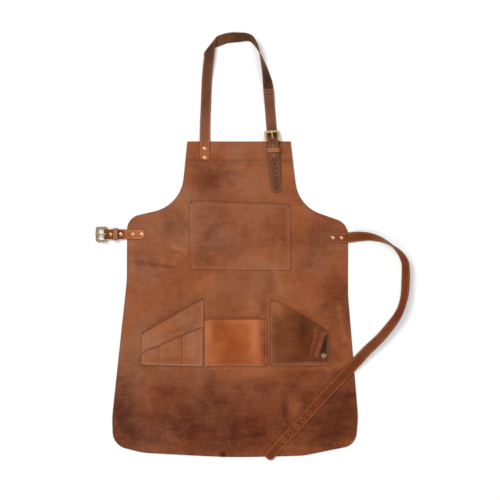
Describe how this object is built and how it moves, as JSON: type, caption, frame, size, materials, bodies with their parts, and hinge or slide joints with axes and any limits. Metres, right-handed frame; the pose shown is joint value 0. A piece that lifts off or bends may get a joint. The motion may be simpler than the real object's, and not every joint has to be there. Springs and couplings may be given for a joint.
{
  "type": "work apron",
  "caption": "Leather work apron with a buckled neck strap, patch pockets, tool slots and a buckled waist strap, laid flat on its back.",
  "frame": {"origin": "middle of the whole outline, at the underside that lies on the surface", "axes": "+X to the viewer's right across the apron's front, +Y up the bib to the neck, +Z out of the front"},
  "size_m": [0.7722, 1.0514, 0.0252],
  "materials": {
    "body_leather": "waxed full grain, satin",
    "pocket_leather": "waxed full grain, satin",
    "tool_leather": "waxed full grain, satin",
    "warm_leather": "waxed full grain, satin",
    "side_leather": "waxed full grain, satin",
    "neck_leather": "waxed strap leather, rough flesh side",
    "adjuster_leather": "waxed strap leather, rough flesh side",
    "waist_leather": "waxed strap leather, rough flesh side",
    "chape_leather": "waxed strap leather",
    "keeper_leather": "waxed strap leather",
    "brass": "antique brass, worn",
    "thread": "waxed thread"
  },
  "bodies": {
    "apron": {"apron_body": "body_leather", "bib_pocket": "pocket_leather", "tool_pocket": "tool_leather", "tool_slots": "tool_leather", "centre_pocket": "warm_leather", "side_pocket": "side_leather", "pocket_eyelet": "brass", "eyelet_washer": "brass", "neck_strap": "neck_leather", "neck_adjusting_strap": "adjuster_leather", "neck_chape": "chape_leather", "waist_chape": "chape_leather", "waist_strap": "waist_leather", "neck_strap_rivet_caps": "brass", "neck_strap_rivet_posts": "brass", "neck_chape_rivet_caps": "brass", "neck_chape_rivet_posts": "brass", "waist_strap_rivet_caps": "brass", "waist_strap_rivet_posts": "brass", "waist_chape_rivet_caps": "brass", "waist_chape_rivet_posts": "brass", "hem_stitching": "thread", "bib_stitching": "thread", "tool_stitching": "thread", "slot_stitching": "thread", "centre_stitching": "thread", "side_stitching": "thread", "splice_stitching": "thread"},
    "waist_frame": {"waist_buckle_frame": "brass"},
    "waist_prong": {"waist_buckle_prong": "brass"},
    "waist_keeper": {"waist_keeper": "keeper_leather"},
    "neck_frame": {"neck_buckle_frame": "brass"},
    "neck_prong": {"neck_buckle_prong": "brass"},
    "neck_keeper": {"neck_keeper": "keeper_leather"}
  },
  "joints": [
    {"name": "waist_buckle_hinge", "type": "hinge", "parent": "apron", "child": "waist_frame", "pos_m": [-0.361, 0.0295, 0.0061], "axis": [0, 1, 0], "range_deg": [0, 70]},
    {"name": "waist_prong_hinge", "type": "hinge", "parent": "waist_frame", "child": "waist_prong", "pos_m": [-0.361, 0.0295, 0.0061], "axis": [0, 1, 0], "range_deg": [0, 60]},
    {"name": "waist_keeper_slide", "type": "slide", "parent": "apron", "child": "waist_keeper", "axis": [1, 0, 0], "range_m": [-0.001, 0.0015]},
    {"name": "neck_buckle_hinge", "type": "hinge", "parent": "apron", "child": "neck_frame", "pos_m": [0.0495, 0.2607, 0.0093], "axis": [0.9968, 0.0802, 0], "range_deg": [0, 2]},
    {"name": "neck_prong_hinge", "type": "hinge", "parent": "neck_frame", "child": "neck_prong", "pos_m": [0.0495, 0.2607, 0.0093], "axis": [0.9968, 0.0802, 0], "range_deg": [0, 3]},
    {"name": "neck_keeper_slide", "type": "slide", "parent": "apron", "child": "neck_keeper", "axis": [0.0802, -0.9968, 0], "range_m": [-0.001, 0.0015]}
  ]
}
